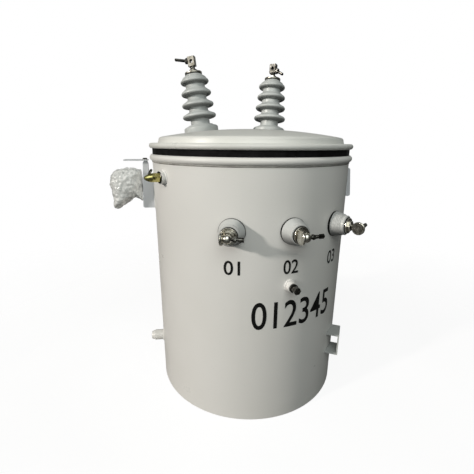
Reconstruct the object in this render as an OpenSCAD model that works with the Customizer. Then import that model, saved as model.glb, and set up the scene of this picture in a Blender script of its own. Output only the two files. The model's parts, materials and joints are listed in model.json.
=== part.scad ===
// Single-phase pole mounted distribution transformer, standing on its base.
// Origin: centre of the base, on the floor. +Z up, -Y is the front, where
// the middle low-voltage bushing points. Angles run from the front, towards +X.

/* [Tank] */
// Outer diameter of the tank wall
tank_d = 480; // [440:1:520]
// Height of the tank wall, up to its rim
tank_h = 579; // [560:1:620]
// Thickness of the tank wall
wall_t = 3; // [2:0.5:5]
// Thickness of the bottom plate
bottom_t = 5; // [3:0.5:8]
// Diameter of the coils and core inside the tank
active_d = 400; // [340:1:400]
// Height of the coils and core inside the tank
active_h = 510; // [400:1:520]

/* [Rim and cover] */
// Outer diameter of the rolled rim and of the cover flange
rim_d = 492; // [490:1:500]
// Height of the rolled rim on the tank wall
rim_h = 15; // [10:0.5:20]
// Thickness of the gasket under the cover
gasket_h = 13; // [8:0.5:16]
// Height of the cover flange, without its dome
flange_h = 12; // [8:0.5:16]
// Diameter of the raised step of the cover
step_d = 447; // [430:1:460]
// Height of the raised step of the cover
step_h = 12.5; // [10:0.5:20]
// Rise of the dome above the step
dome_h = 21; // [15:0.5:40]
// Sheet thickness of the cover
cover_t = 3; // [2:0.5:4]

/* [High-voltage bushings] */
// Distance of each bushing from the tank axis, at the cover
hv_reach = 143.5; // [120:1:160]
// Angle of each bushing from the front, to the left and to the right
hv_angle = 137; // [110:0.5:150]
// Outward lean of each bushing
hv_lean = 8.5; // [0:0.5:12]
// Diameter of the clamping collar on the cover
hv_collar_d = 90; // [80:1:100]
// Height of the clamping collar above the cover
hv_collar_h = 21; // [15:1:30]
// Number of sheds on one bushing
shed_count = 4; // [2:1:5]
// Distance from one shed to the next
shed_step = 28.5; // [24:0.5:32]
// Diameter of the lowest shed
shed_d_low = 88; // [70:1:96]
// Diameter of the topmost shed
shed_d_high = 73; // [64:1:88]
// Diameter of the porcelain between the sheds
core_d = 50; // [40:1:56]

/* [Low-voltage bushings] */
// Height of the low-voltage bushings above the base
lv_z = 453; // [400:1:500]
// Angle between neighbouring low-voltage bushings
lv_step = 29.3; // [25:0.1:35]
// Diameter of the porcelain where it meets the wall
lv_d = 54; // [44:1:60]
// Length of the porcelain, outside the wall
lv_len = 27; // [20:1:40]

/* [Fittings on the wall] */
// Height of the grounding boss
ground_z = 336; // [300:1:380]
// Angle of the pressure relief valve
relief_angle = -71; // [-75:1:-60]
// Height of the pressure relief valve
relief_z = 549; // [530:1:560]
// Angle of the left lifting hook and of the drain plug
lug_angle = -102; // [-110:1:-95]
// Angle of the right lifting hook
lug_angle_right = 75; // [70:1:100]
// Height of the top of the left lifting hook
lug_top_z = 577; // [560:1:578]
// Length of the left lifting hook, from its foot to the tip of its horn
lug_h = 116; // [90:1:120]
// Height of the top of the right lifting hook
lug_top_z_right = 560; // [540:1:578]
// Length of the right lifting hook
lug_h_right = 74; // [70:1:120]
// Distance from the tank wall to the outer edge of a lifting hook
lug_out = 31; // [26:1:45]
// Height of the drain plug
drain_z = 90; // [60:1:120]
// Direction that the channel bracket near the base faces
side_angle = 50.5; // [40:0.5:60]
// Height of the middle of the channel bracket
side_z = 143.5; // [100:0.5:180]

/* [Pole hangers] */
// Distance between the bolts of the upper and the lower hanger
hanger_pitch = 285.75; // [260:0.25:310]
// Height of the lower hanger bolt
hanger_z = 195; // [150:1:230]
// Distance from the tank wall to the face that meets the pole
hanger_out = 58; // [45:1:75]
// Width of a hanger
hanger_w = 102; // [80:1:120]
// Height of a hanger
hanger_h = 92; // [80:1:110]
// Width of the bolt slot of a hanger
slot_w = 18; // [14:0.5:22]
// Length of the bolt slot of a hanger
slot_len = 36; // [26:1:50]

/* [Hidden] */

// Facets of a full circle; anything above 12 is a true curve
round_fn = 96;
// Facets of the tank wall, where small fittings are cut to it
tank_fn = 360;
// Facets of a thin wire, and of a ball of the wrapping
wire_fn = 24;
ball_fn = 32;
// Overlap that a cutting shape has past the face it cuts
cut = 1;

tank_r = tank_d / 2;
rim_r = rim_d / 2;
rim_z = tank_h;
gasket_z = rim_z + rim_h;
cover_z = gasket_z + gasket_h;
step_r = step_d / 2;
step_top_z = cover_z + flange_h + step_h;
dome_top_z = step_top_z + dome_h;
// Inner radius shared by the rim, the gasket and the cover flange
seat_r = 226;
gasket_r = 239;
// Radius of the sphere that the dome is part of, and its centre's height
dome_r = (step_r * step_r + dome_h * dome_h) / (2 * dome_h);
dome_centre_z = dome_top_z - dome_r;
hv_z = dome_centre_z + sqrt(dome_r * dome_r - hv_reach * hv_reach);
dome_steps = 12;

// Heights along a high-voltage bushing, from the cover surface
shed_z0 = 43.5;
shed_rim_r = 5;
// Height of the porcelain above its topmost shed
neck_h = 17;
hv_top = shed_z0 + (shed_count - 1) * shed_step + neck_h;
hv_shank_r = 24;
hv_shank_len = 45;
hv_foot = 16;
cap_r = 22;
cap_h = 6;
stud_r = 6;
// Clearance between a part and the hole that it passes through
fit = 0.5;
// Terminal clamps: middle of the wire hole, half width, depth and height
hv_eye_z = hv_top + cap_h + 26;
hv_eye_r = 9.5;
hv_eye_depth = 15;
hv_eye_h = 23;
hv_wire_r = 4.5;
clamp_screw_r = 3.5;
// Length of each high-voltage clamp screw
hv_len_left = 40;
hv_len_right = 28;
// Turn of each high-voltage clamp round its stud
hv_turn_left = -75;
hv_turn_right = 175;
// Downward tilt of each high-voltage clamp screw
hv_dip_left = -16;
hv_dip_right = 30;

// Distances along a low-voltage bushing, from the tank wall
lv_r = lv_d / 2;
lv_end_r = 21;
lv_seat = 3;
lv_shank_r = 15;
lv_shank_len = 22;
lv_washer_t = 4.5;
lv_nut_len = 9.5;
// Middle of the wire hole; the right clamp is not screwed on as far
lv_eye_z = lv_seat + lv_len + lv_nut_len + 10;
lv_eye_extra_right = 8;
lv_eye_r = 9.5;
lv_flange_r = 13.5;
lv_wire_r = 4.5;
lv_screw_len = 26;
lv_screw_len_middle = 32;

ground_boss_r = 11;
ground_boss_len = 14;
relief_boss_r = 14;
relief_boss_len = 9.5;
// Depth of a round foot before it is cut to the tank wall
wall_foot = 6;

side_len = 49;
side_h = 55;
side_out = 20.5;
// The channel bracket sits this far round the tank from the line it faces along
side_shift = -48.5;
side_t = 3.5;
plate_t = 6;
hanger_plate_y = tank_r + hanger_out - plate_t;
hanger_top_z = hanger_z + hanger_pitch;

lug_t = 10;
lug_slot_w = 12.5;
arm_t = 3;
arm_w = 26;
arm_reach = 56;

// Puts a fitting on the tank wall: local +Z points out, +Y up, +X round the tank
module on_wall(angle, z) {
  rotate([0, 0, angle])
    translate([0, -tank_r, z])
      rotate([90, 0, 0])
        children();
}

// Puts a fitting on the cover: local +Z is the leaning axis of the bushing
module on_cover(angle) {
  rotate([0, 0, angle])
    translate([0, -hv_reach, hv_z])
      rotate([hv_lean, 0, 0])
        children();
}

module revolved(points) {
  rotate_extrude($fn = round_fn)
    polygon(points);
}

module tube(outer_r, inner_r, h) {
  difference() {
    cylinder(r = outer_r, h = h, $fn = round_fn);
    translate([0, 0, -cut])
      cylinder(r = inner_r, h = h + 2 * cut, $fn = round_fn);
  }
}

// The space taken by the tank, for cutting the feet of wall fittings
module tank_space() {
  translate([0, 0, -cut])
    cylinder(r = tank_r, h = tank_h + rim_h, $fn = tank_fn);
}

// The space under the outer surface of the dome, for cutting the collars
module dome_space() {
  edge = dome_outer(0);
  rotate_extrude($fn = tank_fn)
    polygon(concat(
      [[0, cover_z], [edge[0], cover_z]],
      [for (i = [0 : dome_steps]) dome_outer(i)]
    ));
}

function arc(x, y, r, from, to, steps) = [
  for (i = [0 : steps]) let (a = from + (to - from) * i / steps)
    [x + r * cos(a), y + r * sin(a)]
];

// Points of the dome's outer and inner outline, from its edge to the top
function dome_point(r, x) = [x, dome_centre_z + sqrt(r * r - x * x)];
function dome_outer(i) = dome_point(dome_r, (step_r - 11) * (1 - i / dome_steps));
function dome_inner(i) = dome_point(dome_r - cover_t, (step_r - 15) * (1 - i / dome_steps));

// ---- tank ----

module tank_shell() {
  color("gainsboro")
    difference() {
      tube(tank_r, tank_r - wall_t, tank_h);
      for (angle = [-lv_step, 0, lv_step])
        on_wall(angle, lv_z)
          translate([0, 0, -lv_shank_len])
            cylinder(r = lv_shank_r + fit, h = lv_shank_len + 10, $fn = round_fn);
    }
}

module tank_bottom() {
  color("gainsboro")
    cylinder(r = tank_r - wall_t, h = bottom_t, $fn = round_fn);
}

module tank_rim() {
  bead_r = rim_h / 2;
  color("gainsboro")
    translate([0, 0, rim_z])
      revolved(concat(
        [[seat_r, rim_h], [seat_r, 0]],
        arc(rim_r - bead_r, bead_r, bead_r, -90, 90, 12)
      ));
}

module cover_gasket() {
  color("black")
    translate([0, 0, gasket_z])
      tube(gasket_r, seat_r, gasket_h);
}

module cover() {
  lip_r = flange_h / 2;
  shoulder_r = 7;
  inner_step_r = step_r - cover_t;
  color("gainsboro")
    difference() {
      revolved(concat(
        [[inner_step_r, cover_z]],
        arc(rim_r - lip_r, cover_z + lip_r, lip_r, -90, 90, 12),
        [[step_r + 2, cover_z + flange_h]],
        arc(step_r - shoulder_r, step_top_z - shoulder_r + 1, shoulder_r, 0, 80, 6),
        [for (i = [0 : dome_steps]) dome_outer(i)],
        [for (i = [dome_steps : -1 : 0]) dome_inner(i)],
        [[inner_step_r, step_top_z - shoulder_r], [inner_step_r, cover_z]]
      ));
      for (side = [-1, 1])
        on_cover(side * hv_angle)
          translate([0, 0, -hv_shank_len])
            cylinder(r = hv_shank_r + fit, h = hv_shank_len + 20, $fn = round_fn);
    }
}

// Sealed inside the tank
module core_and_coils() {
  color("saddlebrown")
    translate([0, 0, bottom_t])
      cylinder(d = active_d, h = active_h, $fn = round_fn);
}

// ---- high-voltage bushings ----

module hv_collar(angle) {
  outer_r = hv_collar_d / 2;
  inner_r = core_d / 2 + fit;
  color("lightgray")
    difference() {
      on_cover(angle)
        revolved([
          [inner_r, -hv_foot], [outer_r, -hv_foot], [outer_r, hv_collar_h - 7],
          [outer_r - 3, hv_collar_h - 4], [outer_r - 10, hv_collar_h - 3],
          [outer_r - 12, hv_collar_h], [inner_r, hv_collar_h]
        ]);
      dome_space();
    }
}

function shed_r(i) = (shed_d_low + (shed_d_high - shed_d_low) * i / (shed_count - 1)) / 2;

// One shed, from its hollow underside out round the rim and up to the core
function shed_outline(r, z) = concat(
  [[core_d / 2, z - 8], [core_d / 2 + 3, z - 5], [r - 9, z - 1]],
  arc(r - shed_rim_r, z, shed_rim_r, -75, 75, 10),
  [[core_d / 2 + 5, z + 9.5], [core_d / 2, z + 13]]
);

module hv_bushing(angle) {
  core_r = core_d / 2;
  color("darkgray")
    on_cover(angle)
      revolved(concat(
        [[0, -hv_shank_len], [hv_shank_r, -hv_shank_len], [hv_shank_r, hv_collar_h - 4],
         [core_r, hv_collar_h - 4]],
        [for (i = [0 : shed_count - 1], p = shed_outline(shed_r(i), shed_z0 + i * shed_step)) p],
        [[core_r - 2, hv_top - 2], [core_r - 4, hv_top], [0, hv_top]]
      ));
}

module hv_cap(angle) {
  recess = 3.5;
  color("dimgray")
    on_cover(angle)
      translate([0, 0, hv_top])
        revolved([
          [stud_r, 0], [cap_r - 3, 0], [cap_r, 2], [cap_r, cap_h], [cap_r - 2, cap_h],
          [cap_r - 4, cap_h - recess], [stud_r, cap_h - recess]
        ]);
}

module hv_terminal(angle, turn, dip) {
  block_z = hv_eye_z - hv_eye_h / 2;
  color("silver")
    on_cover(angle)
      rotate([0, 0, turn])
        difference() {
          union() {
            translate([0, 0, hv_top])
              cylinder(r = stud_r, h = block_z - hv_top + 3, $fn = round_fn);
            intersection() {
              translate([0, 0, block_z])
                cylinder(r = hv_eye_r + 1.5, h = hv_eye_h, $fn = round_fn);
              translate([-hv_eye_r, -hv_eye_depth / 2, block_z])
                cube([2 * hv_eye_r, hv_eye_depth, hv_eye_h]);
            }
          }
          translate([0, hv_eye_depth, hv_eye_z])
            rotate([90, 0, 0])
              cylinder(r = hv_wire_r, h = 2 * hv_eye_depth, $fn = round_fn);
          translate([0, 0, hv_eye_z])
            rotate([0, 90 + dip, 0])
              cylinder(r = clamp_screw_r, h = 2 * hv_eye_r, $fn = round_fn);
        }
}

// A clamp screw along local +X: a lock nut at its start and a flat grip at its end
module clamp_screw(start, length, nut_at, nut_r) {
  nut_len = 5;
  grip_t = 2.5;
  grip_w = 9;
  grip_len = 10;
  rotate([0, 90, 0])
    translate([0, 0, start]) {
      cylinder(r = clamp_screw_r, h = length, $fn = round_fn);
      translate([0, 0, nut_at])
        cylinder(r = nut_r, h = nut_len, $fn = 6);
      translate([-grip_t / 2, -grip_w / 2, length - grip_len])
        cube([grip_t, grip_w, grip_len]);
    }
}

module hv_screw(angle, turn, dip, length) {
  color("dimgray")
    on_cover(angle)
      rotate([0, 0, turn])
        translate([0, 0, hv_eye_z])
          rotate([0, dip, 0])
            clamp_screw(hv_wire_r + 1, length, hv_eye_r - hv_wire_r + 1, 7.5);
}

// ---- low-voltage bushings ----

module lv_gasket(angle) {
  color("dimgray")
    difference() {
      on_wall(angle, lv_z)
        translate([0, 0, -wall_foot])
          tube(lv_r + 0.5, lv_shank_r + fit, wall_foot + lv_seat);
      tank_space();
    }
}

module lv_bushing(angle) {
  groove = 1.1;
  groove_count = 7;
  taper = (lv_r - lv_end_r) / lv_len;
  pitch = (lv_len - 7) / groove_count;
  color("darkgray")
    on_wall(angle, lv_z)
      revolved(concat(
        [[0, -lv_shank_len], [lv_shank_r, -lv_shank_len], [lv_shank_r, lv_seat], [lv_r, lv_seat]],
        [for (i = [0 : groove_count - 1], half = [0, 1])
          let (z = 1 + (i + half / 2) * pitch)
            [lv_r - taper * z - (half == 1 ? groove : 0), lv_seat + z]],
        [[lv_end_r, lv_seat + lv_len - 6], [lv_end_r, lv_seat + lv_len - 1.5],
         [lv_end_r - 1.5, lv_seat + lv_len], [0, lv_seat + lv_len]]
      ));
}

module lv_nut(angle) {
  color("silver")
    on_wall(angle, lv_z)
      translate([0, 0, lv_seat + lv_len])
        difference() {
          union() {
            cylinder(r = 16.5, h = lv_washer_t, $fn = round_fn);
            translate([0, 0, lv_washer_t])
              cylinder(r = 11.5, h = lv_nut_len - lv_washer_t, $fn = 6);
          }
          translate([0, 0, -cut])
            cylinder(r = stud_r, h = lv_nut_len + 2 * cut, $fn = round_fn);
        }
}

// Distance of a low-voltage clamp's wire hole from the tank wall
function lv_eye(angle) = lv_eye_z + (angle > 0 ? lv_eye_extra_right : 0);

// A ball with a round plate on its left side
module lv_terminal(angle) {
  plate_from = -12.5;
  plate_to = -8;
  neck_r = 6.5;
  round_r = 1.2;
  // Turns the seam of the revolved body away from the holes
  seam = 17;
  color("silver")
    on_wall(angle, lv_z)
      difference() {
        union() {
          translate([0, 0, lv_seat + lv_len])
            cylinder(r = stud_r, h = lv_eye(angle) - lv_seat - lv_len - 6, $fn = round_fn);
          translate([0, 0, lv_eye(angle)])
            rotate([0, 90, 0])
              rotate([0, 0, seam])
                revolved(concat(
                  [[0, plate_from], [lv_flange_r - round_r, plate_from],
                   [lv_flange_r, plate_from + round_r], [lv_flange_r, plate_to - round_r],
                   [lv_flange_r - round_r, plate_to], [neck_r, plate_to]],
                  arc(0, 0, lv_eye_r, -45, 90, 12)
                ));
        }
        translate([0, 2 * lv_eye_r, lv_eye(angle)])
          rotate([90, 0, 0])
            cylinder(r = lv_wire_r, h = 4 * lv_eye_r, $fn = round_fn);
        translate([0, 0, lv_eye(angle)])
          rotate([0, 90, 0])
            cylinder(r = clamp_screw_r, h = 2 * lv_eye_r, $fn = round_fn);
      }
}

module lv_screw(angle, length) {
  color("dimgray")
    on_wall(angle, lv_z)
      translate([0, 0, lv_eye(angle)])
        clamp_screw(lv_wire_r + 1, length, lv_eye_r - lv_wire_r + 2, 5.5);
}

// ---- fittings on the wall ----

// A short round boss welded to the tank wall
module boss(angle, z, r, length) {
  difference() {
    on_wall(angle, z)
      translate([0, 0, -wall_foot])
        cylinder(r = r, h = length + wall_foot, $fn = round_fn);
    tank_space();
  }
}

module ground_boss() {
  color("whitesmoke")
    boss(0, ground_z, ground_boss_r, ground_boss_len);
}

module ground_bolt() {
  washer_r = 9.5;
  washer_t = 4;
  head_r = 8;
  head_len = 14;
  color("dimgray")
    on_wall(0, ground_z)
      translate([0, 0, ground_boss_len]) {
        cylinder(r = washer_r, h = washer_t, $fn = round_fn);
        translate([0, 0, washer_t])
          cylinder(r = head_r, h = head_len, $fn = 6);
      }
}

module relief_boss() {
  color("whitesmoke")
    boss(relief_angle, relief_z, relief_boss_r, relief_boss_len);
}

module relief_valve() {
  hex_r = 10.5;
  hex_len = 10;
  body_r = 9.5;
  tip_r = 3;
  length = 33;
  color("goldenrod")
    on_wall(relief_angle, relief_z)
      translate([0, 0, relief_boss_len]) {
        cylinder(r = hex_r, h = hex_len, $fn = 6);
        revolved([
          [0, hex_len], [body_r, hex_len], [body_r, hex_len + 3], [body_r - 0.5, length - 14],
          [body_r - 2, length - 8], [tip_r + 2, length - 3], [tip_r, length], [0, length]
        ]);
      }
}

// Pull ring of the relief valve, on a short stem that leans back to the tank
module relief_ring() {
  ring_r = 3.8;
  wire = 1.6;
  stem_r = 2.5;
  stem_len = 3;
  // How far the stem's foot is sunk into the valve
  sunk = 2;
  // Where the stem starts: off the valve's axis, and along it
  foot_off = 9;
  foot_along = 22;
  lean = 35;
  color("dimgray")
    on_wall(relief_angle, relief_z)
      translate([0, foot_off, relief_boss_len + foot_along])
        rotate([-lean, 0, 0]) {
          translate([0, -sunk, 0])
            rotate([-90, 0, 0])
              cylinder(r = stem_r, h = stem_len + sunk, $fn = round_fn);
          translate([0, stem_len + ring_r - wire, 0])
            rotate_extrude($fn = round_fn)
              translate([ring_r, 0])
                circle(r = wire, $fn = wire_fn);
        }
}

// An upright plate with a horn; a sling goes in the slot between horn and wall
module lifting_lug(angle, top_z, h) {
  horn_r = (lug_out - 6 - lug_slot_w) / 2;
  slot_r = lug_slot_w / 2;
  slot_z = 0.55 * h;
  color("lightgray")
    difference() {
      rotate([0, 0, angle])
        translate([lug_t / 2, -tank_r, top_z - h])
          rotate([90, 0, -90])
            linear_extrude(lug_t)
              polygon(concat(
                [[-10, 0]],
                arc(lug_out - 5, 5, 5, -90, 0, 4),
                arc(lug_slot_w + horn_r, h - horn_r, horn_r, 0, 180, 10),
                arc(slot_r, slot_z + slot_r, slot_r, 0, -180, 10),
                [[-10, slot_z + slot_r]]
              ));
      tank_space();
    }
}

module drain_plug() {
  body_r = 14;
  body_len = 24;
  end_r = 10;
  length = 34;
  foot = 8;
  color("gainsboro")
    difference() {
      on_wall(lug_angle, drain_z)
        revolved([[0, -foot], [body_r, -foot], [body_r, body_len], [end_r, length], [0, length]]);
      tank_space();
    }
}

// A channel lying on its side, open towards the tank
module side_bracket() {
  foot = 25;
  color("lightgray")
    difference() {
      on_wall(side_angle, side_z)
        difference() {
          translate([side_shift - side_len / 2, -side_h / 2, -foot])
            cube([side_len, side_h, side_out + foot]);
          translate([side_shift - side_len, -side_h / 2 + side_t, -foot - cut])
            cube([2 * side_len, side_h - 2 * side_t, side_out + foot + cut - side_t]);
        }
      tank_space();
    }
}

// A hat-shaped bracket whose face takes a pole bolt in an upright slot
module hanger(z) {
  foot = 20;
  color("lightgray")
    difference() {
      translate([-hanger_w / 2, tank_r - foot, z - hanger_h / 2])
        cube([hanger_w, hanger_out + foot, hanger_h]);
      translate([-hanger_w / 2 + plate_t, 0, z - hanger_h])
        cube([hanger_w - 2 * plate_t, hanger_plate_y, 2 * hanger_h]);
      for (end = [-1, 1])
        translate([0, hanger_plate_y - cut, z + end * (slot_len - slot_w) / 2])
          rotate([-90, 0, 0])
            cylinder(r = slot_w / 2, h = plate_t + 2 * cut, $fn = round_fn);
      translate([-slot_w / 2, hanger_plate_y - cut, z - (slot_len - slot_w) / 2])
        cube([slot_w, plate_t + 2 * cut, slot_len - slot_w]);
      tank_space();
    }
}

// ---- surge arrester in its transport wrapping ----

// Flat arm that stands out from the top of the left lifting hook
module arrester_arm() {
  color("lightgray")
    rotate([0, 0, lug_angle])
      translate([-arm_w / 2, -tank_r - lug_slot_w - arm_reach, lug_top_z])
        cube([arm_w, arm_reach, arm_t]);
}

module arrester_bolt() {
  head_r = 6;
  head_len = 3.5;
  from_slot = 7;
  color("dimgray")
    rotate([0, 0, lug_angle])
      translate([0, -tank_r - lug_slot_w - from_slot, lug_top_z + arm_t])
        cylinder(r = head_r, h = head_len, $fn = 6);
}

// A ball of the wrapping: off the hook's plane by x, off the wall by reach
module lump(x, reach, z, r) {
  translate([x, -tank_r - reach, z])
    sphere(r = r, $fn = ball_fn);
}

// The bundle lies against the front side of the lifting hook
module wrapped_arrester() {
  // Clearance to the hook and to the tank
  gap = 2;
  color("whitesmoke")
    difference() {
      rotate([0, 0, lug_angle])
        hull() {
          lump(0, 62, 520, 37);
          lump(0, 76, 504, 30);
          lump(0, 84, 478, 16);
          lump(28, 28, 522, 22);
        }
      rotate([0, 0, lug_angle])
        translate([-lug_h, -tank_r - lug_out - gap, lug_top_z - 2 * lug_h])
          cube([lug_h + lug_t / 2 + 2 * gap, 2 * lug_out, 3 * lug_h]);
      translate([0, 0, -cut])
        cylinder(r = tank_r + gap, h = 2 * tank_h, $fn = round_fn);
    }
}

tank_shell();
tank_bottom();
tank_rim();
cover_gasket();
cover();
core_and_coils();
hv_collar(-hv_angle);  // hv_collar_left
hv_bushing(-hv_angle);  // hv_bushing_left
hv_cap(-hv_angle);  // hv_cap_left
hv_terminal(-hv_angle, hv_turn_left, hv_dip_left);  // hv_terminal_left
hv_screw(-hv_angle, hv_turn_left, hv_dip_left, hv_len_left);  // hv_screw_left
hv_collar(hv_angle);  // hv_collar_right
hv_bushing(hv_angle);  // hv_bushing_right
hv_cap(hv_angle);  // hv_cap_right
hv_terminal(hv_angle, hv_turn_right, hv_dip_right);  // hv_terminal_right
hv_screw(hv_angle, hv_turn_right, hv_dip_right, hv_len_right);  // hv_screw_right
lv_gasket(-lv_step);  // lv_gasket_left
lv_bushing(-lv_step);  // lv_bushing_left
lv_nut(-lv_step);  // lv_nut_left
lv_terminal(-lv_step);  // lv_terminal_left
lv_screw(-lv_step, lv_screw_len);  // lv_screw_left
lv_gasket(0);  // lv_gasket_middle
lv_bushing(0);  // lv_bushing_middle
lv_nut(0);  // lv_nut_middle
lv_terminal(0);  // lv_terminal_middle
lv_screw(0, lv_screw_len_middle);  // lv_screw_middle
lv_gasket(lv_step);  // lv_gasket_right
lv_bushing(lv_step);  // lv_bushing_right
lv_nut(lv_step);  // lv_nut_right
lv_terminal(lv_step);  // lv_terminal_right
lv_screw(lv_step, lv_screw_len);  // lv_screw_right
ground_boss();
ground_bolt();
relief_boss();
relief_valve();
relief_ring();
lifting_lug(lug_angle, lug_top_z, lug_h);  // lifting_lug_left
lifting_lug(lug_angle_right, lug_top_z_right, lug_h_right);  // lifting_lug_right
drain_plug();
side_bracket();
hanger(hanger_top_z);  // hanger_upper
hanger(hanger_z);  // hanger_lower
arrester_arm();
arrester_bolt();
wrapped_arrester();
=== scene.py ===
"""Looks of the pole mounted transformer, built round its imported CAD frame. Metres, +Z up, -Y front."""
import json
import math
import random

import bmesh
import bpy
from mathutils import Matrix, Vector, geometry, kdtree, noise


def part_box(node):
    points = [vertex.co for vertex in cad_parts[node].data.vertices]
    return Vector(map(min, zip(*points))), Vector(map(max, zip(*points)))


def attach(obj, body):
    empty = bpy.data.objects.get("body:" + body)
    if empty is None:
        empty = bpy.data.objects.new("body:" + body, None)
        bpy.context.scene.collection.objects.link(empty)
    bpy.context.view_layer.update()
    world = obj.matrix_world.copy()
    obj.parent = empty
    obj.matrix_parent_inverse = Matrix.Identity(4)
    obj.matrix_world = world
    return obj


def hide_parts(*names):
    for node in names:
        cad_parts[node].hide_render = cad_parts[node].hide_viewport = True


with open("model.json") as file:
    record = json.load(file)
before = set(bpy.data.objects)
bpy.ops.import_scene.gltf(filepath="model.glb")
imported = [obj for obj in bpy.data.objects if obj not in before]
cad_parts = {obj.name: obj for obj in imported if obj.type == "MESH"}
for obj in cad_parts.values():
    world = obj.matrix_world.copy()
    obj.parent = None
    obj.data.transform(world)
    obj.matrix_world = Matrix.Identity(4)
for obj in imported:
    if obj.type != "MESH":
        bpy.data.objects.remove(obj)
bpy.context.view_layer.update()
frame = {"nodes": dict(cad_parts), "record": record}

MM = 0.001
SIDES = ("left", "middle", "right")
HV_SIDES = ("left", "right")

# ---- places, all from the frame ----

tank_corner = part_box("tank_shell")[1]
TANK_R = tank_corner.x
TANK_H = tank_corner.z
mounts = {m["name"]: m for m in frame["record"]["mounts"]}


def wall_angle(point):
    """Angle of a point round the tank, from the front towards +X."""
    return math.atan2(point[0], -point[1])


def middle(node):
    """Middle of a CAD node's box."""
    low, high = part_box(node)
    return (low + high) / 2


def on_wall(angle, z):
    """Frame on the tank wall: local +Z points out, +Y up, +X round the tank."""
    turn = Matrix.Rotation(angle, 4, "Z")
    return turn @ Matrix.Translation((0, -TANK_R, z)) @ Matrix.Rotation(math.pi / 2, 4, "X")


def wall_point(angle, z, out=0.0):
    """A point at this distance out from the tank wall."""
    reach = TANK_R + out
    return Vector((reach * math.sin(angle), -reach * math.cos(angle), z))


# ---- materials ----

class Paint:
    """Builds one procedural material, node by node."""

    def __init__(self, name, roughness, metallic=0.0):
        self.mat = bpy.data.materials.new(name)
        self.mat.use_nodes = True
        self.tree = self.mat.node_tree
        self.shader = self.tree.nodes["Principled BSDF"]
        self.shader.inputs["Metallic"].default_value = metallic
        self.shader.inputs["Roughness"].default_value = roughness
        self.coords = self.tree.nodes.new("ShaderNodeTexCoord").outputs["Object"]
        self.height = None

    def link(self, source, target):
        self.tree.links.new(source, target)

    def noise(self, scale, detail=2.0, rough=0.5, distort=0.0):
        """Noise of this many features a metre."""
        node = self.tree.nodes.new("ShaderNodeTexNoise")
        node.inputs["Scale"].default_value = scale
        node.inputs["Detail"].default_value = detail
        node.inputs["Roughness"].default_value = rough
        node.inputs["Distortion"].default_value = distort
        self.link(self.coords, node.inputs["Vector"])
        return node.outputs["Fac"]

    def facing_down(self):
        """0 on tops and sides, 1 on undersides."""
        surface = self.tree.nodes.new("ShaderNodeNewGeometry")
        normal = self.tree.nodes.new("ShaderNodeSeparateXYZ")
        self.link(surface.outputs["Normal"], normal.inputs["Vector"])
        return self.spread(normal.outputs["Z"], 1.0, 0.0, -0.55, 0.05)

    def ramp(self, value, stops):
        """Colour ramp through stops of (place, colour)."""
        node = self.tree.nodes.new("ShaderNodeValToRGB")
        ramp = node.color_ramp
        while len(ramp.elements) < len(stops):
            ramp.elements.new(0.5)
        for element, (place, colour) in zip(ramp.elements, stops):
            element.position = place
            element.color = (*colour, 1.0)
        self.link(value, node.inputs["Fac"])
        return node.outputs["Color"]

    def spread(self, value, low, high, from_low=0.3, from_high=0.7):
        """Maps a texture's range to low..high."""
        node = self.tree.nodes.new("ShaderNodeMapRange")
        node.inputs["From Min"].default_value = from_low
        node.inputs["From Max"].default_value = from_high
        node.inputs["To Min"].default_value = low
        node.inputs["To Max"].default_value = high
        self.link(value, node.inputs["Value"])
        return node.outputs["Result"]

    def mix(self, factor, a, b):
        """Mixes two colours, each a socket or a plain colour."""
        node = self.tree.nodes.new("ShaderNodeMix")
        node.data_type = "RGBA"
        self.link(factor, node.inputs["Factor"])
        for socket, value in ((node.inputs[6], a), (node.inputs[7], b)):
            if isinstance(value, tuple):
                socket.default_value = (*value, 1.0)
            else:
                self.link(value, socket)
        return node.outputs[2]

    def colour(self, source):
        self.link(source, self.shader.inputs["Base Color"])

    def rough(self, source):
        self.link(source, self.shader.inputs["Roughness"])

    def bump(self, source, strength, distance):
        """Adds one layer of bump, on top of those before it."""
        node = self.tree.nodes.new("ShaderNodeBump")
        node.inputs["Strength"].default_value = strength
        node.inputs["Distance"].default_value = distance
        self.link(source, node.inputs["Height"])
        if self.height is not None:
            self.link(self.height, node.inputs["Normal"])
        self.height = node.outputs["Normal"]
        self.link(self.height, self.shader.inputs["Normal"])

    def coat(self, weight, roughness):
        self.shader.inputs["Coat Weight"].default_value = weight
        self.shader.inputs["Coat Roughness"].default_value = roughness


def enamel(name, tint, shade, roughness, peel):
    """Sprayed enamel: faint tint drift, orange peel, thin scuffs and specks of dust."""
    p = Paint(name, roughness)
    drift = p.ramp(p.noise(5.0, 3.0), [(0.35, shade), (0.65, tint)])
    dust = p.spread(p.noise(260.0, 4.0, 0.7), 0.0, 0.35, 0.62, 0.80)
    dusty = p.mix(dust, drift, tuple(c * 0.62 for c in shade))
    scuffs = p.spread(p.noise(38.0, 8.0, 0.75, 1.5), 0.0, 0.12, 0.70, 0.80)
    p.colour(p.mix(scuffs, dusty, tuple(c * 0.70 for c in shade)))
    p.rough(p.spread(p.noise(14.0, 5.0, 0.6), roughness * 0.80, roughness * 1.30))
    p.bump(p.noise(9.0, 1.0), 0.25, 2.5 * MM)
    p.bump(p.noise(420.0, 2.0), peel, 0.25 * MM)
    return p.mat


def rubber():
    """Matt black rubber, greyer where it is rubbed."""
    p = Paint("black_rubber", 0.5)
    p.shader.inputs["Specular IOR Level"].default_value = 0.06
    wear = p.noise(60.0, 6.0, 0.7)
    p.colour(p.ramp(wear, [(0.35, (0.002, 0.002, 0.002)), (0.75, (0.016, 0.016, 0.017))]))
    p.rough(p.spread(p.noise(25.0, 4.0), 0.35, 0.75))
    p.bump(p.noise(180.0, 5.0, 0.7), 0.5, 0.5 * MM)
    return p.mat


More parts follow.
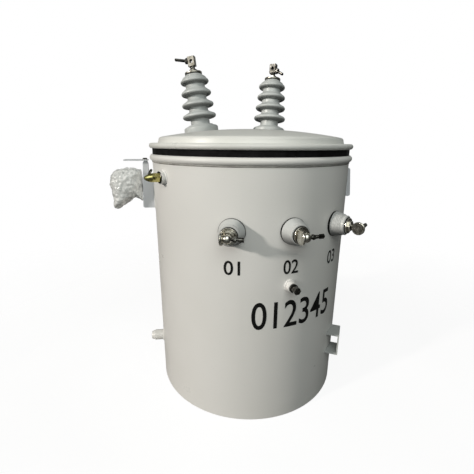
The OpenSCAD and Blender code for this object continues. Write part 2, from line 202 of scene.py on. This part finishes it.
def porcelain(name, dark, light):
    """Glaze with iron specks, and painted shade: darker on the undersides below each shed."""
    p = Paint(name, 0.34)
    glaze = p.ramp(p.noise(22.0, 4.0, 0.6), [(0.30, dark), (0.70, light)])
    # painted shade: the colour darkens where the surface faces down, under each shed
    glaze = p.mix(p.facing_down(), glaze, tuple(c * 0.45 for c in dark))
    specks = p.spread(p.noise(900.0, 2.0), 0.0, 0.5, 0.70, 0.80)
    p.colour(p.mix(specks, glaze, (0.12, 0.11, 0.10)))
    p.rough(p.spread(p.noise(40.0, 4.0), 0.36, 0.55))
    p.bump(p.noise(70.0, 2.0), 0.2, 0.6 * MM)
    p.coat(0.15, 0.2)
    return p.mat


def metal(name, bright, dull, roughness, pits, spots=0.5):
    """Cast or plated metal: bright where rubbed, dull in the hollows, with fine pits."""
    p = Paint(name, roughness, 1.0)
    clean = p.ramp(p.noise(160.0, 5.0, 0.65), [(0.38, dull), (0.62, bright)])
    tarnish = p.spread(p.noise(70.0, 6.0, 0.7, 0.6), 0.0, spots, 0.50, 0.72)
    p.colour(p.mix(tarnish, clean, tuple(c * 0.45 for c in dull)))
    p.rough(p.spread(p.noise(220.0, 4.0), roughness * 0.7, roughness * 1.5))
    p.bump(p.noise(700.0, 4.0, 0.6), pits, 0.3 * MM)
    return p.mat


def painted_shade_line():
    """Painted shade: dark lines laid along the corners where shade falls."""
    p = Paint("corner_painted_shade_line", 0.7)
    p.colour(p.ramp(p.noise(35.0, 6.0, 0.7), [(0.35, (0.17, 0.165, 0.15)), (0.65, (0.38, 0.375, 0.35))]))
    p.bump(p.noise(300.0, 3.0), 0.4, 0.4 * MM)
    return p.mat


def windings():
    """Impregnated paper and steel, out of sight inside the tank."""
    p = Paint("windings", 0.5)
    p.colour(p.ramp(p.noise(30.0, 5.0), [(0.3, (0.10, 0.06, 0.03)), (0.7, (0.24, 0.16, 0.08))]))
    p.bump(p.noise(200.0, 3.0), 0.4, 1.0 * MM)
    return p.mat


def bubble_film():
    """Several layers of clear film: milky, with painted bright glints on its folds and painted shade in
    its creases.
    """
    p = Paint("bubble_film", 0.22)
    milk = p.ramp(
        p.noise(75.0, 7.0, 0.65, 1.2),
        [(0.30, (0.62, 0.63, 0.62)), (0.50, (0.80, 0.81, 0.80)), (0.70, (0.93, 0.93, 0.92))],
    )
    # painted highlight: near-white glints on the folds of the film
    folds = p.spread(p.noise(170.0, 5.0, 0.7, 2.0), 0.0, 0.55, 0.55, 0.75)
    lit = p.mix(folds, milk, (0.97, 0.97, 0.96))
    # painted shade: grey in the creases of the film
    crease_shade = p.spread(p.noise(260.0, 6.0, 0.75, 1.0), 0.0, 0.65, 0.53, 0.68)
    p.colour(p.mix(crease_shade, lit, (0.36, 0.37, 0.36)))
    p.rough(p.spread(p.noise(120.0, 4.0), 0.10, 0.40))
    p.bump(p.noise(240.0, 6.0, 0.75, 1.5), 0.6, 1.0 * MM)
    p.coat(1.0, 0.06)
    return p.mat


def lettering():
    """Black stencil enamel, a little thin in places."""
    p = Paint("stencil_black", 0.45)
    p.shader.inputs["Specular IOR Level"].default_value = 0.2
    wear = p.noise(300.0, 5.0, 0.7)
    p.colour(p.ramp(wear, [(0.55, (0.006, 0.006, 0.006)), (0.90, (0.05, 0.05, 0.048))]))
    p.rough(p.spread(p.noise(90.0, 3.0), 0.35, 0.6))
    p.bump(p.noise(420.0, 2.0), 0.3, 0.2 * MM)
    return p.mat


MATERIALS = {
    "tank_paint": enamel("tank_enamel", (0.80, 0.79, 0.77), (0.775, 0.765, 0.74), 0.34, 0.10),
    "cover_paint": enamel("cover_enamel", (0.78, 0.78, 0.75), (0.72, 0.72, 0.69), 0.32, 0.14),
    "bracket_paint": enamel("bracket_enamel", (0.73, 0.75, 0.79), (0.66, 0.68, 0.71), 0.42, 0.30),
    "gasket": rubber(),
    "inner": windings(),
    "porcelain": porcelain("grey_porcelain", (0.50, 0.52, 0.515), (0.62, 0.645, 0.64)),
    "terminal_metal": metal("tinned_bronze", (0.80, 0.78, 0.72), (0.58, 0.54, 0.46), 0.20, 0.35, 0.35),
    "dark_metal": metal("dark_steel", (0.20, 0.195, 0.18), (0.05, 0.048, 0.043), 0.20, 0.4),
    "brass": metal("olive_brass", (0.66, 0.60, 0.26), (0.46, 0.41, 0.14), 0.18, 0.2, 0.25),
    "bubble_wrap": bubble_film(),
}
BLACK = lettering()
# Painted shade for the dark lines in the corners of the cover and under the rim
PAINTED_SHADE_LINE = painted_shade_line()
PALE_PORCELAIN = porcelain("pale_porcelain", (0.50, 0.505, 0.50), (0.58, 0.585, 0.575))
GREY_CASTING = enamel("grey_casting", (0.54, 0.56, 0.555), (0.46, 0.48, 0.475), 0.40, 0.30)
DULL_BRONZE = metal("dull_bronze", (0.56, 0.54, 0.49), (0.32, 0.30, 0.25), 0.36, 0.5, 0.5)
# Painted shade: a darker copy of the dull bronze for the right high-voltage terminal
SHADED_BRONZE = metal("bronze_painted_shade", (0.24, 0.235, 0.22), (0.10, 0.095, 0.08), 0.45, 0.5, 0.5)
# Painted shade: a darker copy of the paint for the side bracket, which stands in the tank's shade
SHADED_PAINT = enamel("bracket_painted_shade", (0.45, 0.465, 0.46), (0.38, 0.395, 0.39), 0.5, 0.30)
# Looks of single nodes, and of families of nodes that differ only in their side
LOOKS = {
    "lv_bushing": PALE_PORCELAIN,
    "hv_collar": GREY_CASTING,
    "hv_cap": DULL_BRONZE,
    "hv_terminal": DULL_BRONZE,
    # painted shade: the right terminal is the same bronze as the left, darkened
    "hv_terminal_right": SHADED_BRONZE,
    # painted shade: the side bracket gets the darker copy of the paint
    "side_bracket": SHADED_PAINT,
}

for part in frame["record"]["subparts"]:
    node = frame["nodes"][part["node"]]
    node.data.materials.clear()
    family = part["node"].rsplit("_", 1)[0]
    look = LOOKS.get(part["node"]) or LOOKS.get(family) or MATERIALS[part["material_slot"]]
    node.data.materials.append(look)


# ---- mesh helpers ----

def piece(name, mesh, slot, material=None, smooth=True):
    """A named piece in the row frame that rides on the object's one body."""
    obj = bpy.data.objects.new(name, mesh)
    bpy.context.collection.objects.link(obj)
    mesh.materials.append(material or MATERIALS[slot])
    for face in mesh.polygons:
        face.use_smooth = smooth
    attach(obj, "root")
    return obj


def grid(points, close_u=False, close_v=False, caps=False):
    """Mesh over rows of points: points[v][u]."""
    rows, cols = len(points), len(points[0])
    verts = [p for row in points for p in row]
    faces = []
    for v in range(rows if close_v else rows - 1):
        for u in range(cols if close_u else cols - 1):
            a, b = v * cols, ((v + 1) % rows) * cols
            faces.append((a + u, a + (u + 1) % cols, b + (u + 1) % cols, b + u))
    if caps:
        faces.append(tuple(reversed(range(cols))))
        faces.append(tuple(range((rows - 1) * cols, rows * cols)))
    return verts, faces


def join(name, parts):
    """One mesh from several (verts, faces) lists."""
    verts, faces = [], []
    for part_verts, part_faces in parts:
        start = len(verts)
        verts.extend(tuple(v) for v in part_verts)
        faces.extend(tuple(i + start for i in face) for face in part_faces)
    mesh = bpy.data.meshes.new(name)
    mesh.from_pydata(verts, [], faces)
    mesh.validate()
    bm = bmesh.new()
    bm.from_mesh(mesh)
    bmesh.ops.recalc_face_normals(bm, faces=bm.faces)
    bm.to_mesh(mesh)
    bm.free()
    return mesh


def circle(count):
    return [(math.cos(2 * math.pi * i / count), math.sin(2 * math.pi * i / count)) for i in range(count)]


def lathe(outline, place, count=48):
    """Revolves (radius, z) points round local Z, closed at both ends."""
    rows = [[place @ Vector((r * c, r * s, z)) for c, s in circle(count)] for r, z in outline]
    return grid(rows, close_u=True, caps=True)


def ring(radius, thick, z, place, count=48, section=12):
    """A round ring about local Z."""
    rows = []
    for cs, sn in circle(section):
        r = radius + thick * cs
        rows.append([place @ Vector((r * c, r * s, z + thick * sn)) for c, s in circle(count)])
    return grid(rows, close_u=True, close_v=True)


def thread(radius, z0, z1, place, pitch=1.5 * MM, depth=0.45 * MM, count=28):
    """A screw thread about local Z, from z0 to z1."""
    steps = max(6, int((z1 - z0) / pitch * 6))
    rows = []
    for j in range(steps + 1):
        z = z0 + (z1 - z0) * j / steps
        row = []
        for i, (c, s) in enumerate(circle(count)):
            phase = (z / pitch + i / count) % 1.0
            r = radius - depth * abs(2 * phase - 1)
            row.append(place @ Vector((r * c, r * s, z)))
        rows.append(row)
    return grid(rows, close_u=True, caps=True)


def tube(path, radius, section=10, closed=False, wobble=0.0, ripple=3 * MM):
    """A tube along points; wobble gives it the ripples of a weld bead."""
    rows, travelled = [], 0.0
    count = len(path)
    for i, point in enumerate(path):
        ahead = path[(i + 1) % count] if closed or i + 1 < count else path[i]
        behind = path[i - 1] if closed or i > 0 else path[i]
        along = (Vector(ahead) - Vector(behind)).normalized()
        side = along.orthogonal() if i == 0 else side - along * side.dot(along)
        side.normalize()
        up = along.cross(side)
        travelled += (Vector(point) - Vector(behind)).length if i else 0.0
        swell = 1.0 + wobble * (abs(math.sin(math.pi * travelled / ripple)) - 0.5)
        swell += 0.25 * wobble * noise.noise(Vector(point) * 90)
        rows.append([Vector(point) + (side * c + up * s) * radius * swell for c, s in circle(section)])
    return grid(rows, close_u=True, close_v=closed, caps=not closed)


def soften(node, width, angle=math.radians(30), segments=2):
    """Small rounds on the hard edges of a CAD node, as machined and cast parts have."""
    obj = frame["nodes"][node]
    merge = obj.modifiers.new("merge", "WELD")
    merge.merge_threshold = 0.01 * MM
    bevel = obj.modifiers.new("round", "BEVEL")
    bevel.width = width
    bevel.segments = segments
    bevel.limit_method = "ANGLE"
    bevel.angle_limit = angle
    bevel.harden_normals = True


# ---- rounded edges on the CAD nodes ----

for side in SIDES:
    soften("lv_nut_" + side, 0.6 * MM)
    soften("lv_terminal_" + side, 0.5 * MM)
    soften("lv_screw_" + side, 0.4 * MM)
for side in HV_SIDES:
    soften("hv_terminal_" + side, 0.9 * MM, segments=3)
    soften("hv_screw_" + side, 0.4 * MM)
    soften("hv_cap_" + side, 0.5 * MM)
    soften("hv_collar_" + side, 0.8 * MM)
    soften("lifting_lug_" + side, 0.8 * MM)
for name in (
    "hanger_upper", "hanger_lower", "arrester_arm", "side_bracket", "ground_bolt", "arrester_bolt",
):
    soften(name, 0.7 * MM)

# ---- welds ----

WELD_R = 2.6 * MM
WELD_WOBBLE = 0.35
# How far a weld stops short of the ends of its plate
WELD_END = 2 * MM
# Half the width between the two fillets of a lifting hook
LUG_HALF = 5.5 * MM
SEAM_R = 2 * MM
SEAM_ANGLE = math.radians(152)


def wall_ring(angle, z, radius, count=72):
    """A circle that lies on the curved wall."""
    return [wall_point(angle + radius * c / TANK_R, z + radius * s) for c, s in circle(count)]


def wall_line(start, end, count=40):
    """A line on the wall between two (angle, z) places."""
    places = [Vector(start).lerp(Vector(end), i / count) for i in range(count + 1)]
    return [wall_point(angle, z) for angle, z in places]


def weld(name, path, radius=WELD_R, closed=False):
    """A weld bead along a path on the wall."""
    return piece(name, join(name, [tube(path, radius, closed=closed, wobble=WELD_WOBBLE)]), "tank_paint")


for name in ("ground_boss", "relief_boss", "drain_plug"):
    low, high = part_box(name)
    centre = (low + high) / 2
    ring_r = (high.z - low.z) / 2 + 0.5 * MM
    weld("weld_" + name, wall_ring(wall_angle(centre), centre.z, ring_r), closed=True)


def lug_weld(side):
    """Two fillets up the sides of a lifting hook's foot, joined under it."""
    low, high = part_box("lifting_lug_" + side)
    angle = wall_angle((low + high) / 2)
    step = LUG_HALF / TANK_R
    top = (low.z + high.z) / 2
    path = wall_line((angle - step, top), (angle - step, low.z))
    path += wall_line((angle - step, low.z), (angle + step, low.z), 8)[1:]
    path += wall_line((angle + step, low.z), (angle + step, top))[1:]
    weld("weld_lug_" + side, path)


for side in HV_SIDES:
    lug_weld(side)

for name in ("upper", "lower"):
    low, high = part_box("hanger_" + name)
    for side, x in (("left", low.x), ("right", high.x)):
        angle = math.pi - math.asin(x / TANK_R)
        ends = (angle, low.z + WELD_END), (angle, high.z - WELD_END)
        weld(f"weld_hanger_{name}_{side}", wall_line(*ends))

seam = wall_line((SEAM_ANGLE, 2 * WELD_END), (SEAM_ANGLE, TANK_H - WELD_END), 260)
weld("weld_tank_seam", seam, radius=SEAM_R)

# ---- painted shade: dark lines at the foot of the cover's step and under the rim ----

rim_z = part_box("tank_rim")[0].z
cover_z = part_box("cover")[0].z
# Height of the cover's flange, and radius of the painted shade line at the foot of its step
FLANGE_H = 12 * MM
STEP_R = 224.1 * MM
UP = Matrix.Identity(4)
# painted shade: a dark ring at the foot of the cover's step, and one on the wall just under the rim
for name, radius, thick, z in (
    ("step", STEP_R, 0.8 * MM, cover_z + FLANGE_H),
    ("rim", TANK_R, 1.3 * MM, rim_z - 1.9 * MM),
):
    line = ring(radius, thick, z, UP, count=240, section=8)
    piece("painted_shade_line_" + name, join("painted_shade_line", [line]), "tank_paint", PAINTED_SHADE_LINE)

# ---- generic numbers on the wall ----

# How far the paint film stands off the wall, and how finely a number is cut to bend round it
FILM = 0.35 * MM
NUMBER_CUT = 3 * MM


def wall_number(name, text, angle, low_z, high_z, width, bold):
    """Black number painted on the wall, wrapped round its curve; bold thickens its strokes."""
    curve = bpy.data.curves.new(name, "FONT")
    curve.body = text
    curve.offset = bold
    curve.resolution_u = 6
    maker = bpy.data.objects.new(name + "_maker", curve)
    bpy.context.collection.objects.link(maker)
    bpy.context.view_layer.update()
    mesh = bpy.data.meshes.new_from_object(maker.evaluated_get(bpy.context.evaluated_depsgraph_get()))
    bpy.data.objects.remove(maker)
    bpy.data.curves.remove(curve)
    xs = [v.co.x for v in mesh.vertices]
    ys = [v.co.y for v in mesh.vertices]
    wide, tall = max(xs) - min(xs), max(ys) - min(ys)
    for v in mesh.vertices:
        v.co.x = ((v.co.x - min(xs)) / wide - 0.5) * width
        v.co.y = low_z + (v.co.y - min(ys)) / tall * (high_z - low_z)
    bm = bmesh.new()
    bm.from_mesh(mesh)
    x = -width / 2 + NUMBER_CUT
    while x < width / 2:
        geom = bm.verts[:] + bm.edges[:] + bm.faces[:]
        bmesh.ops.bisect_plane(bm, geom=geom, plane_co=(x, 0, 0), plane_no=(1, 0, 0), dist=1e-6)
        x += NUMBER_CUT
    for v in bm.verts:
        v.co = wall_point(angle + v.co.x / TANK_R, v.co.y, FILM)
    bmesh.ops.recalc_face_normals(bm, faces=bm.faces)
    bm.to_mesh(mesh)
    bm.free()
    mesh.materials.clear()
    return piece(name, mesh, "tank_paint", BLACK, smooth=False)


lv_places = {side: mounts["lv_wire_" + side]["pos_m"] for side in SIDES}
lv_z = middle("lv_bushing_middle").z
# Below each low-voltage terminal: drop of a number's foot and top, and its width
DIGIT_FOOT = 91 * MM
DIGIT_TOP = 60 * MM
DIGIT_W = 34 * MM
for count, side in enumerate(SIDES, 1):
    angle = wall_angle(lv_places[side])
    wall_number("digits_" + side, f"0{count}", angle, lv_z - DIGIT_FOOT, lv_z - DIGIT_TOP, DIGIT_W, 0.012)

# The large number: the angle of its middle, the heights of its foot and top, and its width
BAND_ANGLE = math.radians(5.4)
BAND_FOOT = 238 * MM
BAND_TOP = 302 * MM
BAND_W = 208 * MM
wall_number("number_band", "012345", BAND_ANGLE, BAND_FOOT, BAND_TOP, BAND_W, 0.008)

# ---- threads and joints of the fittings ----

STUD_R = 6.4 * MM
SCREW_R = 3.9 * MM
JOINT_T = 1.4 * MM

# ---- low-voltage terminals ----

# The outer end of a bushing, off the wall; the stud's thread runs from inside the nut to the clamp
LV_SEAT = 30 * MM
LV_THREAD_FROM = LV_SEAT + 6.5 * MM
LV_CLAMP_BACK = 7 * MM
LV_SCREW_FROM = 9 * MM
LV_SCREW_TO = {"left": 17.5 * MM, "middle": 24 * MM, "right": 17.5 * MM}
LV_SEAL_R = 17 * MM

for side in SIDES:
    place = on_wall(wall_angle(lv_places[side]), lv_z)
    eye_out = Vector((lv_places[side][0], lv_places[side][1])).length - TANK_R
    stud = thread(STUD_R, LV_THREAD_FROM, eye_out - LV_CLAMP_BACK, place)
    across = place @ Matrix.Translation((0, 0, eye_out)) @ Matrix.Rotation(math.pi / 2, 4, "Y")
    screw = thread(SCREW_R, LV_SCREW_FROM, LV_SCREW_TO[side], across)
    piece("lv_threads_" + side, join("lv_threads", [stud, screw]), "dark_metal")
    seal = ring(LV_SEAL_R, 0.7 * MM, LV_SEAT + 0.6 * MM, place)
    piece("lv_seal_" + side, join("lv_seal", [seal]), "gasket")

# ---- high-voltage terminals ----

# Below the wire hole, along the stud: the lock nut's foot and top, the clamp, and the cap's joint
HV_NUT_FOOT = -26 * MM
HV_NUT_TOP = -19 * MM
HV_CLAMP_FOOT = -11 * MM
HV_JOINT_Z = -31.6 * MM
HV_NUT_R = 10.5 * MM
HV_JOINT_R = 20.5 * MM
NUT_ROUND = 1 * MM

for side in HV_SIDES:
    mount = mounts["hv_wire_" + side]
    eye = Vector(mount["pos_m"])
    up = (eye - middle("hv_cap_" + side)).normalized()
    back = -Vector(mount["axis"])
    across_axis = back.cross(up).normalized()
    place = Matrix.Translation(eye) @ Matrix((across_axis, back, up)).transposed().to_4x4()
    nut = lathe([
        (0, HV_NUT_FOOT), (HV_NUT_R - NUT_ROUND, HV_NUT_FOOT), (HV_NUT_R, HV_NUT_FOOT + NUT_ROUND),
        (HV_NUT_R, HV_NUT_TOP - NUT_ROUND), (HV_NUT_R - NUT_ROUND, HV_NUT_TOP), (0, HV_NUT_TOP),
    ], place, 6)
    piece("hv_nut_" + side, join("hv_nut", [nut]), "terminal_metal", smooth=False)
    joint = ring(HV_JOINT_R, JOINT_T, HV_JOINT_Z, place)
    piece("hv_joint_" + side, join("hv_joint", [joint]), "gasket")
    stud = thread(STUD_R, HV_NUT_TOP, HV_CLAMP_FOOT, place)
    piece("hv_threads_" + side, join("hv_threads", [stud]), "dark_metal")

# ---- relief valve ----

RELIEF_JOINT_R = 11 * MM
RELIEF_JOINT_OUT = 10.1 * MM
boss = middle("relief_boss")
joint = ring(RELIEF_JOINT_R, JOINT_T, RELIEF_JOINT_OUT, on_wall(wall_angle(boss), boss.z))
piece("relief_joint", join("relief_joint", [joint]), "dark_metal")

# ---- the arrester in its bubble film ----

# Corners of the bundle in the plane of the lifting hook: distance from the wall and height, in mm.
# The outline is a smooth curve through them, and a straight line back along the hook.
BUNDLE_CORNERS = [
    (29, 556), (53, 560), (85, 556), (101, 544), (107, 520), (102, 492), (105, 474), (98, 459),
    (74, 467), (53, 486), (41, 485), (31, 476),
]
# Half the bundle's thickness, and how far in from its outline it reaches it
BUNDLE_HALF = 30 * MM
BUNDLE_EDGE = 27 * MM
# Half its thickness at the edge, the spacing of its first points, and the size of its final faces
BUNDLE_SEAM = 1.5 * MM
BUNDLE_STEP = 4 * MM
BUNDLE_VOXEL = 1.7 * MM
ROUNDING_PASSES = 8
# Depths of the film's coarse and fine folds, and the noise level that stays in place
COARSE_FOLD = 7 * MM
FINE_FOLD = 2.5 * MM
FOLD_LEVEL = 0.12
# The film's bubbles: spacing, the least share of it between two bubbles, radius and height
BUBBLE_PITCH = 9.5 * MM
BUBBLE_CROWDING = 0.94
BUBBLE_R = 4.4 * MM
BUBBLE_H = 1.0 * MM
SEED = 7


def smooth_curve(corners, steps=4):
    """Points of an open Catmull-Rom curve through the corners."""
    ends = [corners[0]] + corners + [corners[-1]]
    points = []
    for before, a, b, after in zip(ends, ends[1:], ends[2:], ends[3:]):
        leave, arrive = (b - before) / 2, (after - a) / 2
        for i in range(steps):
            t = i / steps
            points.append(a + leave * t + (3 * (b - a) - 2 * leave - arrive) * t ** 2
                          + (2 * (a - b) + leave + arrive) * t ** 3)
    return points + [corners[-1]]


def edge_distance(point, outline):
    """Distance from a point to a closed outline."""
    best = 1.0
    for a, b in zip(outline, outline[1:] + outline[:1]):
        near, t = geometry.intersect_point_line(point, a, b)
        near = a if t < 0 else b if t > 1 else near
        best = min(best, (point - near.to_2d()).length)
    return best


def cushion(outline, place):
    """Points and faces of a cushion over a flat outline: two bulged sheets and the edge between them."""
    low = [min(p[axis] for p in outline) for axis in (0, 1)]
    high = [max(p[axis] for p in outline) for axis in (0, 1)]
    inner = []
    for i in range(1, int((high[0] - low[0]) / BUNDLE_STEP) + 1):
        for j in range(1, int((high[1] - low[1]) / BUNDLE_STEP) + 1):
            spot = Vector((low[0] + i * BUNDLE_STEP, low[1] + j * BUNDLE_STEP))
            if edge_distance(spot, outline) > BUNDLE_SEAM:
                inner.append(spot)
    loop = [(i, (i + 1) % len(outline)) for i in range(len(outline))]
    flat, _, faces, _, _, _ = geometry.delaunay_2d_cdt(outline + inner, loop, [], 1, 0.01 * MM)
    points = []
    for sign in (1, -1):
        for spot in flat:
            t = min(1.0, edge_distance(spot, outline) / BUNDLE_EDGE)
            bulge = max(BUNDLE_SEAM, BUNDLE_HALF * math.sqrt(max(0.0, 1 - (1 - t) ** 2)))
            points.append(place @ Vector((sign * bulge, spot[1], spot[0])))
    back = len(flat)
    sides = [(a, b) for face in faces for a, b in zip(face, list(face[1:]) + [face[0]])]
    both_ways = set(sides)
    solid = [tuple(face) for face in faces]
    solid += [tuple(i + back for i in reversed(face)) for face in faces]
    solid += [(b, a, a + back, b + back) for a, b in sides if (b, a) not in both_ways]
    return points, solid


def even_mesh(mesh):
    """The same closed surface with faces of one size."""
    maker = bpy.data.objects.new("bundle_maker", mesh)
    bpy.context.collection.objects.link(maker)
    remesh = maker.modifiers.new("even", "REMESH")
    remesh.mode = "VOXEL"
    remesh.voxel_size = BUNDLE_VOXEL
    bpy.context.view_layer.update()
    even = bpy.data.meshes.new_from_object(maker.evaluated_get(bpy.context.evaluated_depsgraph_get()))
    bpy.data.objects.remove(maker)
    even.materials.clear()
    return even


def bundle():
    """The wrapping: a cushion against the lifting hook, rounded and then crumpled."""
    place = on_wall(wall_angle(middle("lifting_lug_left")), 0.0)
    outline = smooth_curve([Vector(p) * MM for p in BUNDLE_CORNERS])
    mesh = even_mesh(join("bundle", [cushion(outline, place)]))
    bm = bmesh.new()
    bm.from_mesh(mesh)
    for _ in range(ROUNDING_PASSES):
        bmesh.ops.smooth_vert(
            bm, verts=bm.verts, factor=0.5, use_axis_x=True, use_axis_y=True, use_axis_z=True,
        )
    crease(bm)
    raise_bubbles(bm)
    bm.to_mesh(mesh)
    bm.free()
    return mesh


def crease(bm):
    """Coarse and fine folds of the film."""
    bm.normal_update()
    for v in bm.verts:
        coarse = abs(noise.noise(v.co * 38 + Vector((3, 1, 7))))
        fine = abs(noise.noise(v.co * 95))
        v.co += v.normal * ((FOLD_LEVEL - coarse) * COARSE_FOLD + (FOLD_LEVEL - fine) * FINE_FOLD)
    bm.normal_update()


def spread_spots(bm):
    """Seeded places on a surface, each about a bubble's pitch from the next."""
    order = list(bm.verts)
    random.Random(SEED).shuffle(order)
    spots = []
    buckets = {}
    for v in order:
        key = tuple(int(math.floor(c / BUBBLE_PITCH)) for c in v.co)
        near = [p for dx in (-1, 0, 1) for dy in (-1, 0, 1) for dz in (-1, 0, 1)
                for p in buckets.get((key[0] + dx, key[1] + dy, key[2] + dz), ())]
        if all((v.co - p).length > BUBBLE_PITCH * BUBBLE_CROWDING for p in near):
            spots.append(v.co.copy())
            buckets.setdefault(key, []).append(v.co.copy())
    return spots


def raise_bubbles(bm):
    """Domes of the bubble film."""
    spots = spread_spots(bm)
    tree = kdtree.KDTree(len(spots))
    for i, spot in enumerate(spots):
        tree.insert(spot, i)
    tree.balance()
    rise = []
    for v in bm.verts:
        distance = tree.find(v.co)[2] / BUBBLE_R
        rise.append(BUBBLE_H * math.sqrt(1 - distance ** 2) if distance < 1 else 0.0)
    for v, height in zip(bm.verts, rise):
        v.co += v.normal * height


wrap = piece("bubble_bundle", bundle(), "bubble_wrap")
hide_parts("wrapped_arrester")

# ---- floor, light and camera ----

FLOOR_R = 2.2
FLOOR_Z = -0.5 * MM


def floor():
    """A pale round floor, white to the camera, that fades into the backdrop."""
    rows = [[Vector((r * c, r * s, FLOOR_Z)) for c, s in circle(96)] for r in (1 * MM, FLOOR_R)]
    obj = bpy.data.objects.new("floor", join("floor", [grid(rows, close_u=True)]))
    bpy.context.collection.objects.link(obj)
    p = Paint("floor_paper", 0.8)
    new = p.tree.nodes.new
    p.colour(p.ramp(p.noise(3.0), [(0.3, (0.11, 0.11, 0.11)), (0.7, (0.13, 0.13, 0.13))]))
    level = new("ShaderNodeMath")
    level.operation = "MULTIPLY"
    level.inputs[1].default_value = 0.90
    p.link(new("ShaderNodeLightPath").outputs["Is Camera Ray"], level.inputs[0])
    glow = new("ShaderNodeEmission")
    p.link(level.outputs[0], glow.inputs["Strength"])
    paper = new("ShaderNodeAddShader")
    p.link(p.shader.outputs[0], paper.inputs[0])
    p.link(glow.outputs[0], paper.inputs[1])
    from_middle = new("ShaderNodeVectorMath")
    from_middle.operation = "LENGTH"
    p.link(p.coords, from_middle.inputs[0])
    faded = new("ShaderNodeMixShader")
    p.link(p.spread(from_middle.outputs["Value"], 0.0, 1.0, 0.6, 1.6), faded.inputs[0])
    p.link(paper.outputs[0], faded.inputs[1])
    p.link(new("ShaderNodeBsdfTransparent").outputs[0], faded.inputs[2])
    p.link(faded.outputs[0], p.tree.nodes["Material Output"].inputs["Surface"])
    obj.data.materials.append(p.mat)
    return obj


floor()


def direction(azimuth, elevation):
    """Direction towards a light: azimuth in degrees from the front towards +X, and elevation."""
    a, e = math.radians(azimuth), math.radians(elevation)
    return Vector((math.sin(a) * math.cos(e), -math.cos(a) * math.cos(e), math.sin(e)))


# Light that comes from everywhere, and broad glows: azimuth, elevation, sharpness and strength
AMBIENT = 0.03
LOBES = [(-24, 30, 15.0, 1.12), (112, 20, 60.0, 0.35), (175, 30, 5.0, 0.25)]
DAYLIGHT = (0.955, 1.0, 0.96)


def studio():
    """White backdrop for the camera; everything else sees the sum of the broad glows."""
    world = bpy.data.worlds.new("studio")
    bpy.context.scene.world = world
    world.use_nodes = True
    tree = world.node_tree
    tree.nodes.clear()
    new, link = tree.nodes.new, tree.links.new
    coords = new("ShaderNodeTexCoord").outputs["Generated"]

    def math_node(kind, *values):
        node = new("ShaderNodeMath")
        node.operation = kind
        for socket, value in zip(node.inputs, values):
            if isinstance(value, (int, float)):
                socket.default_value = value
            else:
                link(value, socket)
        return node.outputs[0]

    def lobe(azimuth, elevation, power, strength):
        dot = new("ShaderNodeVectorMath")
        dot.operation = "DOT_PRODUCT"
        dot.inputs[1].default_value = direction(azimuth, elevation)
        link(coords, dot.inputs[0])
        share = math_node("MAXIMUM", math_node("MULTIPLY_ADD", dot.outputs["Value"], 0.5, 0.5), 0.0)
        return math_node("MULTIPLY", math_node("POWER", share, power), strength)

    total = AMBIENT
    for settings in LOBES:
        total = math_node("ADD", lobe(*settings), total)
    glow = new("ShaderNodeBackground")
    glow.inputs["Color"].default_value = (*DAYLIGHT, 1.0)
    link(total, glow.inputs["Strength"])
    white = new("ShaderNodeBackground")
    white.inputs["Color"].default_value = (1.0, 1.0, 1.0, 1.0)
    pick = new("ShaderNodeMixShader")
    link(new("ShaderNodeLightPath").outputs["Is Camera Ray"], pick.inputs[0])
    link(glow.outputs[0], pick.inputs[1])
    link(white.outputs[0], pick.inputs[2])
    link(pick.outputs[0], new("ShaderNodeOutputWorld").inputs["Surface"])


studio()


def lamp(name, kind, energy, colour, towards, reach=0.0):
    """A light in this direction from the tank, aimed back at its upper half."""
    data = bpy.data.lights.new(name, kind)
    data.energy = energy
    data.color = colour
    obj = bpy.data.objects.new(name, data)
    obj.location = Vector((0, 0, 0.75 * TANK_H)) + towards * reach
    obj.rotation_euler = towards.to_track_quat("Z", "Y").to_euler()
    bpy.context.collection.objects.link(obj)
    return data


key = lamp("key", "SUN", 2.05, (1.0, 0.945, 0.875), direction(-80, 21))
key.angle = math.radians(4.5)
soft_box = lamp("soft_box", "AREA", 3.4, DAYLIGHT, direction(-8, 42), 1.25)
soft_box.size = 0.8

# The camera's place in metres, and its turns in degrees: down, left of +Y, and to one side
CAMERA_AT = (-0.3070, -0.7754, 0.6175)
CAMERA_PITCH = 16.30
CAMERA_HEADING = -19.48
CAMERA_ROLL = 0.424
lens = bpy.data.cameras.new("camera")
lens.sensor_width = 36
lens.lens = 24.15
lens.clip_start = 0.02
camera = bpy.data.objects.new("camera", lens)
heading = Matrix.Rotation(math.radians(CAMERA_HEADING), 4, "Z")
pitch = Matrix.Rotation(math.radians(90 - CAMERA_PITCH), 4, "X")
roll = Matrix.Rotation(math.radians(CAMERA_ROLL), 4, "Z")
camera.matrix_world = Matrix.Translation(CAMERA_AT) @ heading @ pitch @ roll
bpy.context.collection.objects.link(camera)
bpy.context.scene.camera = camera
bpy.context.scene.view_settings.view_transform = "Standard"
